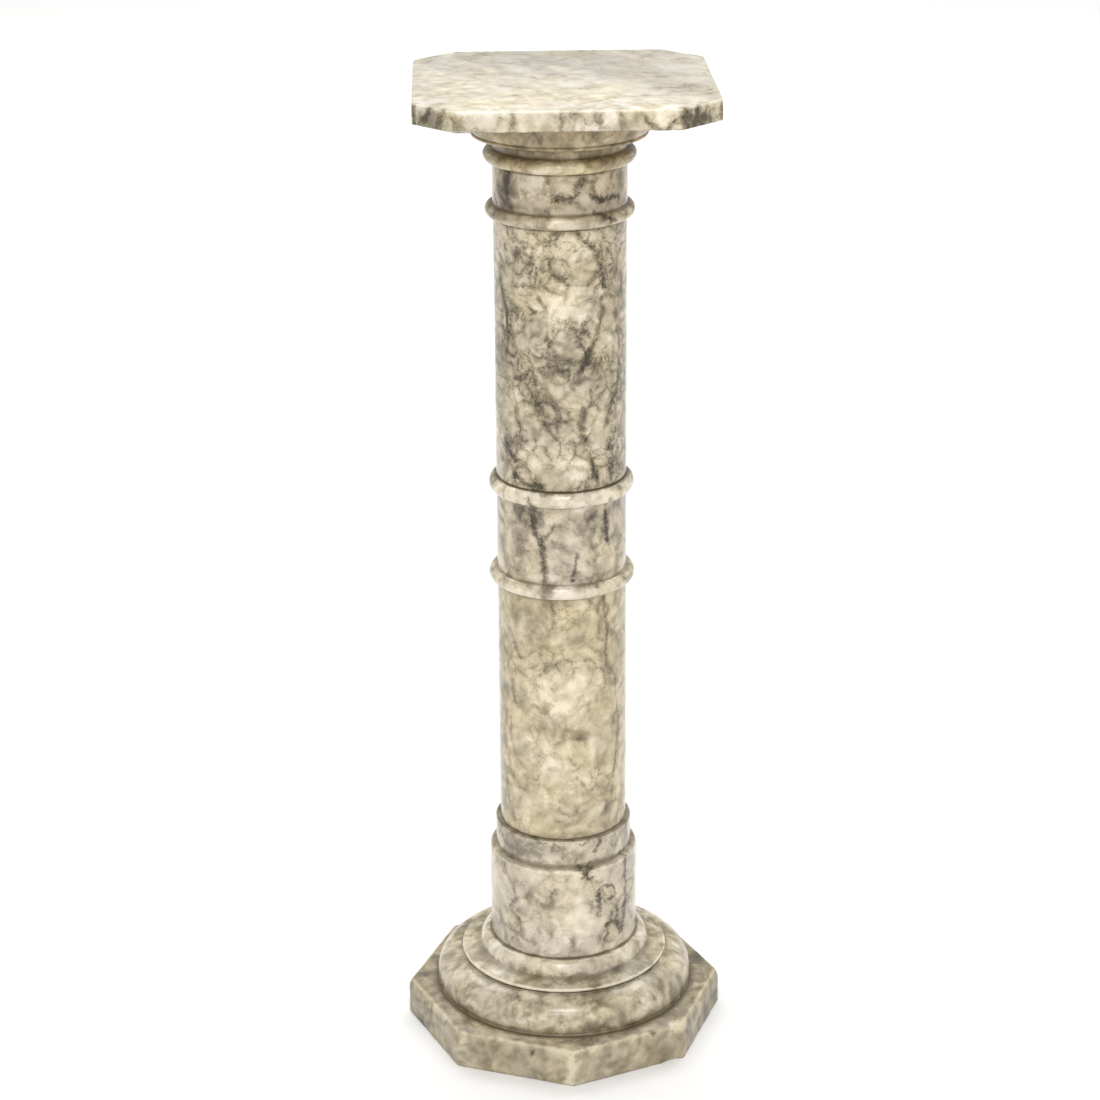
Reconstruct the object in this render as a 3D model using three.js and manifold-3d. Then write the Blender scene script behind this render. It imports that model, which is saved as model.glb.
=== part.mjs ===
// A marble pedestal: a cut-corner slab on a ringed round column, in a turned base on an
// eight-sided plinth. Nine stones stand on one another with a thin bedding joint between.
// Millimetres, +Z up, the front towards -Y. The origin is the centre of the plinth's underside.
import * as THREE from "three";
import { ConvexGeometry } from "three/addons/geometries/ConvexGeometry.js";
import { mergeVertices } from "three/addons/utils/BufferGeometryUtils.js";
import Module from "manifold-3d";

const wasm = await Module();
wasm.setup();

// Bedding between one stone and the next
const bedJoint = 0.3;

// Plinth: a regular octagon with a corner to the front and a rounded shoulder
const plinthAcrossCorners = 331.6;
const plinthHeight = 39;
const plinthTurn = THREE.MathUtils.degToRad(1.05);
const shoulderInset = 6;
const shoulderHeight = 12;

// Knocked corners of the plinth's top, counted anticlockwise from the front corner.
// The break meets the two upper edges and the upright edge at these distances from the corner.
const knockedCorners = [
  { corner: -1, alongClockwise: 27, alongAnticlockwise: 8, down: 15 },
  { corner: 1, alongClockwise: 14, alongAnticlockwise: 5, down: 14 },
];

// Base moulding: a foot listel, a large torus, a listel, a sloping neck and a bead
const footListelRadius = 133.5;
const footListelHeight = 1.5;
const torusCentreRadius = 106;
const torusReach = 27.7;
const torusHalfHeight = 24.5;
const torusEquatorHeight = 9.2;
const recessRadius = 104.6;
const recessHeight = 1.7;
const baseListelRadius = 107.3;
const baseListelHeight = 3;
const baseSlopeRadius = 88.4;
const baseSlopeRise = 4.2;
const beadReach = 11.4;
const beadHeight = 14.5;

// Socket drum: a wide drum with a narrower collar, which takes the column
const socketRadius = 76;
const socketHeight = 101.7;
const socketArris = 4;
const collarRadius = 69.8;
const collarHeight = 29.7;
const collarArris = 1.2;

// Column: the shafts and the middle drum have one radius, and the necking is a little fuller
const shaftRadius = 64.9;
const lowerShaftHeight = 264;
const middleDrumHeight = 80.5;
const upperShaftHeight = 262;
const neckingRadius = 65.4;
const neckingHeight = 39.3;
const stoneArris = 0.8;

// Half-round rings, from the lowest to the highest
const fourthRing = { reach: 8.4, height: 15.3 };
const thirdRing = { reach: 7.6, height: 16.4 };
const secondRing = { reach: 7.4, height: 13.6 };
const firstRing = { reach: 8.8, height: 14.8 };

// Capital: the first ring, a neck that sweeps out to a listel, a quirk and a swelling echinus
const neckHeight = 4.5;
const coveHeight = 7.7;
const coveReach = 17.1;
const capitalListelRadius = 85.5;
const capitalListelHeight = 2.6;
const quirkRadius = 83.6;
const quirkHeight = 1.4;
const echinusCentreRadius = 84;
const echinusReach = 6;
const echinusSweep = THREE.MathUtils.degToRad(72);
const echinusHeight = 26.5;

// Slab: a square with its corners cut off
const slabWidth = 286;
const slabThickness = 20;
const slabCornerCut = 40;
const slabArris = 1.4;
const slabOffCentre = 3.5;

// Fineness of the round surfaces
const roundFacets = 56;
const ringSteps = 6;
const torusSteps = 9;
const curveSteps = 4;

// Colours of the stones, which are cut from one cloudy, grey-veined cream marble
const warmCream = 0xc9bd9f;
const greyCream = 0xb3aa96;
const paleLilac = 0xc4bbb0;
const tanCream = 0xb7ab8c;

const halfTurn = Math.PI;
const quarterTurn = Math.PI / 2;

// Points on part of an ellipse, from one angle to another.
function arc(centreRadius, centreHeight, reach, rise, from, to, steps) {
  return Array.from({ length: steps + 1 }, (_, i) => {
    const angle = from + ((to - from) * i) / steps;
    return new THREE.Vector2(
      centreRadius + reach * Math.cos(angle),
      centreHeight + rise * Math.sin(angle),
    );
  });
}

// A half-round ring on a drum, from its lower edge to its upper edge.
function halfRound(drumRadius, ring, bottom) {
  const rise = ring.height / 2;
  return arc(drumRadius, bottom + rise, ring.reach, rise, -quarterTurn, quarterTurn, ringSteps);
}

function point(radius, height) {
  return new THREE.Vector2(radius, height);
}

// A stone of its own colour, standing at its height in the stack.
function stone(name, geometry, bottom, color, roughness) {
  const material = new THREE.MeshStandardMaterial({ color, roughness, metalness: 0 });
  const mesh = new THREE.Mesh(geometry, material);
  mesh.name = name;
  mesh.position.z = bottom;
  return mesh;
}

// Turns an outline, given from the bottom to the top, about the upright axis.
function turned(outline, facets = roundFacets, start = 0) {
  const closed = [point(0, outline[0].y), ...outline, point(0, outline.at(-1).y)];
  return new THREE.LatheGeometry(closed, facets, start).rotateX(quarterTurn);
}

// A plain shaft with its two arrises just taken off.
function shaft(height) {
  return turned([
    point(shaftRadius - stoneArris, 0),
    point(shaftRadius, stoneArris),
    point(shaftRadius, height - stoneArris),
    point(shaftRadius - stoneArris, height),
  ]);
}

function solid(geometry) {
  const bare = geometry.clone().deleteAttribute("normal").deleteAttribute("uv");
  const merged = mergeVertices(bare, 1e-4);
  return new wasm.Manifold(
    new wasm.Mesh({
      numProp: 3,
      vertProperties: merged.attributes.position.array,
      triVerts: new Uint32Array(merged.index.array),
    }),
  );
}

function geometryOf(manifold) {
  const { vertProperties, triVerts } = manifold.getMesh();
  const geometry = new THREE.BufferGeometry();
  geometry.setAttribute("position", new THREE.BufferAttribute(vertProperties, 3));
  geometry.setIndex(new THREE.BufferAttribute(triVerts, 1));
  geometry.computeVertexNormals();
  return geometry;
}

// The plinth

const plinthSides = 8;
const plinthRadius = plinthAcrossCorners / 2;

// The sharp corner where two sides and the top would meet, had nothing worn away.
function plinthCorner(index) {
  const angle = plinthTurn - quarterTurn + (index * 2 * Math.PI) / plinthSides;
  const x = plinthRadius * Math.cos(angle);
  const y = plinthRadius * Math.sin(angle);
  return new THREE.Vector3(x, y, plinthHeight);
}

// A wedge that takes off everything beyond the plane of one knocked corner.
function breakWedge({ corner, alongClockwise, alongAnticlockwise, down }) {
  const tip = plinthCorner(corner);
  const towards = (other, distance) =>
    tip.clone().addScaledVector(other.clone().sub(tip).normalize(), distance);
  const below = tip.clone().setZ(0);
  const onPlane = [
    towards(plinthCorner(corner - 1), alongClockwise),
    towards(plinthCorner(corner + 1), alongAnticlockwise),
    towards(below, down),
  ];
  const middle = new THREE.Vector3();
  onPlane.forEach((p) => middle.addScaledVector(p, 1 / onPlane.length));
  const widened = onPlane.map((p) => p.clone().sub(middle).multiplyScalar(3).add(middle));
  const beyond = tip.clone().sub(middle).multiplyScalar(3).add(middle);
  return solid(new ConvexGeometry([...widened, beyond]));
}

function plinth() {
  const shoulder = arc(
    plinthRadius - shoulderInset,
    plinthHeight - shoulderHeight,
    shoulderInset,
    shoulderHeight,
    0,
    quarterTurn,
    curveSteps,
  );
  const outline = [point(plinthRadius, 0), ...shoulder];
  const whole = solid(turned(outline, plinthSides, plinthTurn));
  return geometryOf(knockedCorners.reduce((left, knock) => left.subtract(breakWedge(knock)), whole));
}

// The turned base, which carries the socket drum on its bead

const torusBottom = footListelHeight;
const torusEquator = torusBottom + torusEquatorHeight;
const torusTop = torusEquator + torusHalfHeight;
const baseListelBottom = torusTop + recessHeight;
const baseListelTop = baseListelBottom + baseListelHeight;
const beadBottom = baseListelTop + baseSlopeRise;
const baseHeight = beadBottom + beadHeight;

function baseMoulding() {
  const torusStart = -Math.asin(torusEquatorHeight / torusHalfHeight);
  const beadCentreRadius = baseSlopeRadius - beadReach;
  return turned([
    point(footListelRadius, 0),
    point(footListelRadius, footListelHeight),
    ...arc(
      torusCentreRadius,
      torusEquator,
      torusReach,
      torusHalfHeight,
      torusStart,
      quarterTurn,
      torusSteps,
    ),
    point(recessRadius, torusTop),
    point(recessRadius, baseListelBottom),
    point(baseListelRadius, baseListelBottom),
    point(baseListelRadius, baseListelTop),
    ...arc(beadCentreRadius, beadBottom, beadReach, beadHeight, 0, quarterTurn, curveSteps),
  ]);
}

function socketDrum() {
  return turned([
    point(socketRadius - stoneArris, 0),
    point(socketRadius, stoneArris),
    ...arc(
      socketRadius - socketArris,
      socketHeight - socketArris,
      socketArris,
      socketArris,
      0,
      quarterTurn,
      curveSteps,
    ),
    point(collarRadius, socketHeight),
    point(collarRadius, socketHeight + collarHeight - collarArris),
    point(collarRadius - collarArris, socketHeight + collarHeight),
  ]);
}

// The middle drum carries a ring at its foot and another at its head.
function middleDrum() {
  return turned([
    ...halfRound(shaftRadius, fourthRing, 0),
    ...halfRound(shaftRadius, thirdRing, fourthRing.height + middleDrumHeight),
  ]);
}

function neckingDrum() {
  const height = secondRing.height + neckingHeight;
  return turned([
    ...halfRound(neckingRadius, secondRing, 0),
    point(neckingRadius, height - stoneArris),
    point(neckingRadius - stoneArris, height),
  ]);
}

const coveBottom = firstRing.height + neckHeight;
const capitalListelBottom = coveBottom + coveHeight;
const quirkBottom = capitalListelBottom + capitalListelHeight;
const echinusBottom = quirkBottom + quirkHeight;
const capitalHeight = echinusBottom + echinusHeight;

// The cove is hollow, so its arc runs backwards round a centre outside the stone.
function capital() {
  const coveCentreRadius = neckingRadius + coveReach;
  const echinusRise = echinusHeight / Math.sin(echinusSweep);
  return turned([
    ...halfRound(neckingRadius, firstRing, 0),
    ...arc(coveCentreRadius, coveBottom, coveReach, coveHeight, halfTurn, quarterTurn, curveSteps),
    point(capitalListelRadius - stoneArris, capitalListelBottom),
    point(capitalListelRadius, capitalListelBottom + stoneArris),
    point(capitalListelRadius, quirkBottom),
    point(quirkRadius, quirkBottom),
    point(quirkRadius, echinusBottom),
    ...arc(
      echinusCentreRadius,
      capitalHeight,
      echinusReach,
      echinusRise,
      -echinusSweep,
      0,
      curveSteps,
    ),
  ]);
}

// The slab, whose outline runs through the two ends of each corner cut

function slab() {
  const half = slabWidth / 2;
  const near = half - slabCornerCut;
  const cutEnds = [new THREE.Vector2(half, near), new THREE.Vector2(near, half)];
  const centre = new THREE.Vector2();
  const corners = [0, 1, 2, 3].flatMap((quarter) =>
    cutEnds.map((end) => end.clone().rotateAround(centre, quarter * quarterTurn)),
  );
  const geometry = new THREE.ExtrudeGeometry(new THREE.Shape(corners), {
    depth: slabThickness - 2 * slabArris,
    bevelThickness: slabArris,
    bevelSize: slabArris,
    bevelOffset: -slabArris,
    bevelSegments: 2,
  });
  return geometry.translate(slabOffCentre, 0, slabArris);
}

// The stack, from the floor up

const pedestal = new THREE.Group();
let bed = 0;

function lay(name, geometry, height, color, roughness) {
  pedestal.add(stone(name, geometry, bed, color, roughness));
  bed += height + bedJoint;
}

lay("plinth", plinth(), plinthHeight, tanCream, 0.42);
lay("base_moulding", baseMoulding(), baseHeight, greyCream, 0.36);
lay("socket_drum", socketDrum(), socketHeight + collarHeight, paleLilac, 0.33);
lay("lower_shaft", shaft(lowerShaftHeight), lowerShaftHeight, warmCream, 0.3);
lay(
  "middle_drum",
  middleDrum(),
  fourthRing.height + middleDrumHeight + thirdRing.height,
  paleLilac,
  0.32,
);
lay("upper_shaft", shaft(upperShaftHeight), upperShaftHeight, greyCream, 0.31);
lay("necking_drum", neckingDrum(), secondRing.height + neckingHeight, paleLilac, 0.32);
lay("capital", capital(), capitalHeight, tanCream, 0.35);
lay("top_slab", slab(), slabThickness, warmCream, 0.3);

export default pedestal;
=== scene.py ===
# %% [markdown]
# A marble pedestal. Nine stones are stacked on one another: a plinth, a turned base, a drum, four stones
# of the column, a capital and a slab. The imported model gives each stone's true place and size. This
# script gives each one its fine surface: smooth turning, worn arrises, chips, veins, polish and grime,
# with painted shade and painted highlights in a few places.

# %% Load the pedestal as a fixed frame
import math

import bmesh
import bpy
from mathutils import Matrix, Vector, noise


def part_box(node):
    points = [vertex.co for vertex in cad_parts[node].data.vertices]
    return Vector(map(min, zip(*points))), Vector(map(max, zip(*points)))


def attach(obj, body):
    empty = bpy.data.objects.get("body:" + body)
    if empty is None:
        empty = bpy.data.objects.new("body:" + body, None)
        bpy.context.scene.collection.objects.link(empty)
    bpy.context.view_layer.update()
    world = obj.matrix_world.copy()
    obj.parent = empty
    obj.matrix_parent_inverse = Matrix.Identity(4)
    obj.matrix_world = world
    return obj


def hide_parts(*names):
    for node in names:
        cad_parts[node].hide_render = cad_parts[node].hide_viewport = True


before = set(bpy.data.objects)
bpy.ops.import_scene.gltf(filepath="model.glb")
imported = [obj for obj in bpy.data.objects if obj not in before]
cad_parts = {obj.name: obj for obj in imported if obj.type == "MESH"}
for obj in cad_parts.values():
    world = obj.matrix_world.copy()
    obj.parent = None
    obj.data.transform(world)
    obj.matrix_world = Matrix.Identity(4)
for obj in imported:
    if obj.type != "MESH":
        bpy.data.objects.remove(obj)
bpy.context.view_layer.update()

MM = 0.001
print("stones:", ", ".join(sorted(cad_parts)))

# %% [markdown]
# The camera stands where the photographer's did: about 2.7 m in front, at head height, looking down with
# a long lens. A long lens from afar keeps the column's sides nearly parallel. The small turn is there
# because the slab was not quite square to the camera.

# %% Camera
scene = bpy.context.scene


def add_object(name, data):
    made = bpy.data.objects.new(name, data)
    scene.collection.objects.link(made)
    return made


camera_distance = 2.665
camera_height = 1.534
camera_turn = math.radians(-2.26)
camera_pitch = math.radians(90 - 20.79)
camera_roll = -0.0054
lens_mm = 92.55
framing_shift = -0.0107

lens = bpy.data.cameras.new("Long lens")
lens.lens = lens_mm
lens.sensor_width = 36
lens.shift_x = framing_shift
camera = add_object("Camera", lens)
scene.camera = camera
camera.matrix_world = (
    Matrix.Rotation(camera_turn, 4, "Z")
    @ Matrix.Translation((0, -camera_distance, camera_height))
    @ Matrix.Rotation(camera_pitch, 4, "X")
    @ Matrix.Rotation(camera_roll, 4, "Z")
)
print("camera at", [round(c, 3) for c in camera.matrix_world.translation])

# %% [markdown]
# Soft studio light. The key softbox, high in front, makes the shade under the slab and the highlights
# on the lower rings, and a narrow one below it reaches the upper rings. A wide one near the camera fills
# the front, two weak ones light the far sides, and a large one overhead whitens the pale floor.

# %% Light and floor
def softbox(name, place, width, height, power, aim=(0, 0, 0.55)):
    """A lit rectangle, with its place and size in metres and its power in watts."""
    light = bpy.data.lights.new(name, "AREA")
    light.shape = "RECTANGLE"
    light.size = width
    light.size_y = height
    light.energy = power
    lamp = add_object(name, light)
    direction = Vector(aim) - Vector(place)
    towards_aim = direction.to_track_quat("-Z", "Y").to_matrix().to_4x4()
    lamp.matrix_world = Matrix.Translation(place) @ towards_aim
    lamp.visible_camera = False


softbox("Key softbox", (-0.15, -2.3, 3.75), 1.3, 0.7, 48)
softbox("Small front softbox", (-0.3, -3.4, 3.0), 1.5, 0.45, 26)
softbox("Front fill", (0.1, -4.4, 1.9), 3.6, 2.2, 26)
softbox("Rear left", (-2.8, 2.4, 1.8), 1.6, 2.2, 10)
softbox("Rear right", (2.8, 2.4, 1.8), 1.6, 2.2, 10)
softbox("Backdrop softbox", (0, 4.0, 5.4), 7.5, 3.6, 290, aim=(0, 4.4, 0))

world = bpy.data.worlds.new("Pale studio")
world.use_nodes = True
sky = world.node_tree.nodes["Background"].inputs
sky["Color"].default_value = (1.0, 0.99, 0.97, 1)
sky["Strength"].default_value = 0.46
scene.world = world
scene.view_settings.view_transform = "Standard"

floor_mesh = bpy.data.meshes.new("Floor")
floor_shape = bmesh.new()
bmesh.ops.create_grid(floor_shape, x_segments=1, y_segments=1, size=20)
floor_shape.to_mesh(floor_mesh)
floor_shape.free()
floor = add_object("Floor", floor_mesh)
floor_finish = bpy.data.materials.new("Pale floor")
floor_finish.use_nodes = True
floor_shader = floor_finish.node_tree.nodes["Principled BSDF"]
floor_shader.inputs["Base Color"].default_value = (0.96, 0.96, 0.96, 1)
floor_shader.inputs["Roughness"].default_value = 0.9
floor_mesh.materials.append(floor_finish)
print("lights:", len(bpy.data.lights))

# %% [markdown]
# Most of the stones were cut on a lathe, so each is an outline spun about the upright axis, which closes
# on itself without a seam. An outline has radius and height in millimetres above the stone's own bed.
# Rounds are arcs, and long straight stretches are divided, because marks of the hand need points to move.

# %% Arcs and the lathe
quarter = math.pi / 2
turning_steps = 192
longest_step = 3.0


def arc(centre, reach, rise, start, end, steps):
    """Points on part of an ellipse, as (radius, height) pairs."""
    angles = [start + (end - start) * i / steps for i in range(steps + 1)]
    return [(centre[0] + reach * math.cos(a), centre[1] + rise * math.sin(a)) for a in angles]


def half_round(radius, ring, bottom=0):
    """A ring round a drum, given as how far it stands out and how tall it is."""
    reach, height = ring
    return arc((radius, bottom + height / 2), reach, height / 2, -quarter, quarter, steps=14)


def wire(outline, bed):
    """The outline as a bent wire in the plane through the axis, closed to the axis at both ends."""
    shape = bmesh.new()
    ends = [(0, outline[0][1]), *outline, (0, outline[-1][1])]
    points = [shape.verts.new((r * MM, 0, bed + z * MM)) for r, z in ends]
    for first, second in zip(points, points[1:]):
        shape.edges.new((first, second))
    # The first and last edges lie in the flat beds and stay whole.
    for edge in shape.edges[1:-1]:
        cuts = int(edge.calc_length() / (longest_step * MM))
        if cuts:
            bmesh.ops.subdivide_edges(shape, edges=[edge], cuts=cuts)
    return shape


def turn(outline, bed):
    shape = wire(outline, bed)
    bmesh.ops.spin(
        shape,
        geom=shape.verts[:] + shape.edges[:],
        axis=(0, 0, 1),
        cent=(0, 0, 0),
        angle=math.tau,
        steps=turning_steps,
        use_merge=True,
    )
    bmesh.ops.remove_doubles(shape, verts=shape.verts, dist=1e-6)
    bmesh.ops.recalc_face_normals(shape, faces=shape.faces)
    return shape


print("a turned stone has", turning_steps, "steps")

# %% [markdown]
# A real arris is never a perfect corner. Each one is rounded by a small bevel, and then nibbled: where a
# slow noise is high, its points sink a little. A second noise moves the whole surface by a tenth of a
# millimetre, which bends the highlights as hand polishing does.

# %% Arrises, nibbles and the polisher's hand
sharp_angle = math.radians(32)
bed_normal = 0.95


def bevel(shape, edges, offset, segments=3):
    """Rounds edges by this many millimetres, or cuts them flat with one segment."""
    return bmesh.ops.bevel(
        shape,
        geom=edges,
        offset=offset * MM,
        segments=segments,
        profile=0.5,
        affect="EDGES",
        material=-1,
        clamp_overlap=True,
    )["verts"]


def round_arrises(shape, outer=0.8, inner=0.3):
    """Bevels the sharp edges and returns the points on the outer ones."""
    edges = [e for e in shape.edges if len(e.link_faces) == 2 and e.calc_face_angle() > sharp_angle]
    arris_wear_and_highlights = bevel(shape, [e for e in edges if e.is_convex], outer)
    bevel(shape, [e for e in edges if e.is_valid and not e.is_convex], inner)
    return [v for v in arris_wear_and_highlights if v.is_valid]


def nibble(points, depth, size, from_level=0.12, seed=0.0):
    """Sinks the points where a noise of this size in millimetres is high."""
    for point in points:
        level = noise.noise(point.co / (size * MM) + Vector((seed, seed, seed)))
        if level > from_level:
            point.co -= point.normal * depth * MM * (level - from_level) / (1 - from_level)


def hand_polish(shape, depth=0.12, size=24, seed=0.0):
    """Moves the surface a little, except the flat beds that the stones stand on."""
    for point in shape.verts:
        if abs(point.normal.z) > bed_normal:
            continue
        level = noise.noise(point.co / (size * MM) + Vector((seed, 0, 0)))
        point.co += point.normal * depth * MM * level


def finish_piece(name, shape, nodes):
    """Makes the piece from its shape, in the place of the CAD node."""
    shape.normal_update()
    for face in shape.faces:
        face.smooth = True
    for edge in shape.edges:
        if len(edge.link_faces) == 2:
            edge.smooth = edge.calc_face_angle() < sharp_angle
    mesh = bpy.data.meshes.new(name)
    shape.to_mesh(mesh)
    shape.free()
    piece = add_object(name, mesh)
    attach(piece, "root")
    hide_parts(*nodes)
    print(name, len(mesh.polygons), "faces")
    return piece


def turned_stone(name, node, outline, seed, chips=0.5):
    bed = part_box(node)[0].z
    shape = turn(outline, bed)
    arris_wear_and_highlights = round_arrises(shape)
    shape.normal_update()
    nibble(arris_wear_and_highlights, depth=chips, size=5, seed=seed)
    hand_polish(shape, seed=seed)
    return finish_piece(name, shape, [node])


# %% [markdown]
# The plinth is an eight-sided block with a corner to the front. Its shoulder is rounded by years of
# brooms and feet. Stacking extrusions of the octagon gives the shoulder, and a bevel rounds the upright
# arrises.

# %% Plinth block
plinth_low, plinth_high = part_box("plinth")
plinth_radius = 165.8
plinth_height = (plinth_high.z - plinth_low.z) / MM
plinth_turn = math.radians(1.05)
shoulder_inset = 6
shoulder_height = 12
shoulder_steps = 6


def lift(shape, face, radius_scale, rise):
    """Extrudes a flat face upwards and makes it smaller, and returns the new top face."""
    made = bmesh.ops.extrude_face_region(shape, geom=[face, *face.edges, *face.verts])["geom"]
    points = [g for g in made if isinstance(g, bmesh.types.BMVert)]
    bmesh.ops.translate(shape, verts=points, vec=(0, 0, rise * MM))
    bmesh.ops.scale(shape, verts=points, vec=(radius_scale, radius_scale, 1))
    return next(g for g in made if isinstance(g, bmesh.types.BMFace))


def octagon_block():
    shape = bmesh.new()
    bmesh.ops.create_circle(shape, cap_ends=True, segments=8, radius=plinth_radius * MM)
    bmesh.ops.rotate(shape, verts=shape.verts, matrix=Matrix.Rotation(plinth_turn, 3, "Z"))
    side_height = plinth_height - shoulder_height
    top = lift(shape, next(iter(shape.faces)), 1, side_height)
    shoulder_centre = (plinth_radius - shoulder_inset, side_height)
    shoulder = arc(shoulder_centre, shoulder_inset, shoulder_height, 0, quarter, shoulder_steps)
    for below, above in zip(shoulder, shoulder[1:]):
        top = lift(shape, top, above[0] / below[0], above[1] - below[1])
    bmesh.ops.recalc_face_normals(shape, faces=shape.faces)
    return shape


def pick_edges(shape, level, longer_than=0):
    """The level edges, or all the others, that are longer than this many millimetres."""
    long_ones = [e for e in shape.edges if e.calc_length() > longer_than * MM]
    return [e for e in long_ones if (abs(e.verts[0].co.z - e.verts[1].co.z) < MM / 100) == level]


def divide(shape, edges, step):
    """Cuts each edge into pieces of about this many millimetres."""
    by_cuts = {}
    for edge in edges:
        by_cuts.setdefault(round(edge.calc_length() / (step * MM)) - 1, []).append(edge)
    for cuts, group in by_cuts.items():
        if cuts > 0:
            bmesh.ops.subdivide_edges(shape, edges=group, cuts=cuts, use_grid_fill=True)


# %% [markdown]
# A knocked corner breaks off in one go, along a nearly flat face. So a plane cuts the corner away, the
# hole is filled, and the new face is divided and roughened by a noise. A spall is only a ragged dent.

# %% Broken corners and dents
def plinth_corner(index):
    angle = plinth_turn - quarter + index * math.tau / 8
    return Vector((plinth_radius * math.cos(angle), plinth_radius * math.sin(angle), plinth_height)) * MM


def knock_off(shape, corner, clockwise, anticlockwise, down, roughness=0.5, grain=3.5):
    """Breaks a corner off, from so far along its two top edges to so far down its upright one."""
    tip = plinth_corner(corner)
    points = [
        tip + (plinth_corner(corner - 1) - tip).normalized() * clockwise * MM,
        tip + (plinth_corner(corner + 1) - tip).normalized() * anticlockwise * MM,
        tip - Vector((0, 0, down * MM)),
    ]
    normal = (points[1] - points[0]).cross(points[2] - points[0]).normalized()
    if normal.dot(tip - points[0]) < 0:
        normal = -normal
    everything = shape.verts[:] + shape.edges[:] + shape.faces[:]
    cut = bmesh.ops.bisect_plane(
        shape, geom=everything, plane_co=points[0], plane_no=normal, clear_outer=True
    )["geom_cut"]
    rim = [g for g in cut if isinstance(g, bmesh.types.BMEdge)]
    filled = bmesh.ops.holes_fill(shape, edges=rim, sides=0)["faces"]
    centres = bmesh.ops.poke(shape, faces=filled)
    spokes = [e for v in centres["verts"] for e in v.link_edges]
    on_spokes = bmesh.ops.subdivide_edges(shape, edges=spokes, cuts=3)["geom_inner"]
    broken = [g for g in cut + on_spokes + centres["verts"] if isinstance(g, bmesh.types.BMVert)]
    for point in {v for v in broken if v.is_valid}:
        point.co -= normal * roughness * MM * (1 + noise.noise(point.co / (grain * MM)))


def dent(shape, centre, reach, depth, direction, raggedness=0.35, grain=4):
    """Pushes the surface in around a point, with a ragged edge."""
    middle = Vector(centre) * MM
    for point in shape.verts:
        away = point.co - middle
        distance = Vector((away[i] / (reach[i] * MM) for i in range(3))).length
        distance += raggedness * noise.noise(point.co / (grain * MM))
        if distance < 1:
            point.co += Vector(direction) * depth * MM * (1 - distance**2) ** 0.5


# %% The whole plinth
def make_plinth():
    shape = octagon_block()
    bevel(shape, pick_edges(shape, level=False), offset=2.2)
    low_edges = [e for e in pick_edges(shape, level=True) if e.verts[0].co.z < MM / 10]
    bevel(shape, [e for e in low_edges if e.calc_face_angle() > sharp_angle], offset=1.5)
    divide(shape, pick_edges(shape, level=True, longer_than=20), step=2.6)
    divide(shape, pick_edges(shape, level=False, longer_than=8), step=2.6)
    knock_off(shape, corner=-1, clockwise=27, anticlockwise=8, down=15)
    knock_off(shape, corner=1, clockwise=14, anticlockwise=5, down=14)
    shape.normal_update()
    # A spall in the shoulder on the right, and a chip at the foot near it.
    dent(shape, (87, -130, 37), reach=(6, 5, 5), depth=1.8, direction=(-0.3, 0.7, -0.4))
    dent(shape, (109, -121, 1), reach=(11, 6, 4), depth=2.2, direction=(-0.3, 0.7, 0.5))
    shape.normal_update()
    below_top = [v for v in shape.verts if v.co.z < plinth_high.z - MM / 20]
    nibble(below_top, depth=0.7, size=9, from_level=0.2, seed=3)
    hand_polish(shape, depth=0.25, size=17, seed=5)
    return finish_piece("Plinth_stone", shape, ["plinth"])


plinth = make_plinth()

# %% [markdown]
# The turned base carries the column. From the floor up it is a foot listel, a fat torus, a listel, a
# sloping neck and a bead. All of it is one stone, so it is one outline.

# %% Base moulding
foot_listel = (133.5, 1.5)
torus_belly = 9.2
torus_centre = (106, foot_listel[1] + torus_belly)
torus_reach = 27.7
torus_rise = 24.5
torus_start = -math.asin(torus_belly / torus_rise)
torus_top = torus_centre[1] + torus_rise
groove_radius = 104.6
listel_radius = 107.3
listel_bottom = torus_top + 1.7
listel_top = listel_bottom + 3
bead_bottom = listel_top + 4.2
bead_centre = (77, bead_bottom)
bead_reach = 11.4
bead_rise = 14.5
base_outline = [
    (foot_listel[0], 0),
    foot_listel,
    *arc(torus_centre, torus_reach, torus_rise, torus_start, quarter, steps=26),
    (groove_radius, torus_top),
    (groove_radius, listel_bottom),
    (listel_radius, listel_bottom),
    (listel_radius, listel_top),
    *arc(bead_centre, bead_reach, bead_rise, 0, quarter, steps=12),
]
base_moulding = turned_stone("Base_stone", "base_moulding", base_outline, seed=11)

# %% [markdown]
# A wide drum with a narrower collar stands on the bead and takes the foot of the column, like a socket.
# Its upper arris is rounded more than the others.

# %% Socket drum
drum_radius = 76
drum_height = 101.7
drum_arris = 4
collar_radius = 69.8
collar_top = drum_height + 29.7
socket_outline = [
    (drum_radius, 0),
    *arc((drum_radius - drum_arris, drum_height - drum_arris), drum_arris, drum_arris, 0, quarter, steps=6),
    (collar_radius, drum_height),
    (collar_radius, collar_top),
]
socket_drum = turned_stone("Socket_stone", "socket_drum", socket_outline, seed=23)

# %% [markdown]
# The column is four stones: a lower shaft, a middle drum with a ring at each end, an upper shaft, and a
# necking drum with a ring at its foot. The plain shafts are true cylinders.

# %% Column
shaft_radius = 64.9
necking_radius = 65.4


def stone_height(node):
    low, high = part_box(node)
    return (high.z - low.z) / MM


def plain_shaft(name, node, seed):
    outline = [(shaft_radius, 0), (shaft_radius, stone_height(node))]
    return turned_stone(name, node, outline, seed)


lower_shaft = plain_shaft("Lower_shaft_stone", "lower_shaft", seed=31)
upper_shaft = plain_shaft("Upper_shaft_stone", "upper_shaft", seed=37)

fourth_ring = (8.4, 15.3)
third_ring = (7.6, 16.4)
middle_outline = [
    *half_round(shaft_radius, fourth_ring),
    *half_round(shaft_radius, third_ring, stone_height("middle_drum") - third_ring[1]),
]
middle_drum = turned_stone("Middle_stone", "middle_drum", middle_outline, seed=41)

second_ring = (7.4, 13.6)
necking_outline = [
    *half_round(necking_radius, second_ring),
    (necking_radius, stone_height("necking_drum")),
]
necking_drum = turned_stone("Necking_stone", "necking_drum", necking_outline, seed=43)

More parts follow.
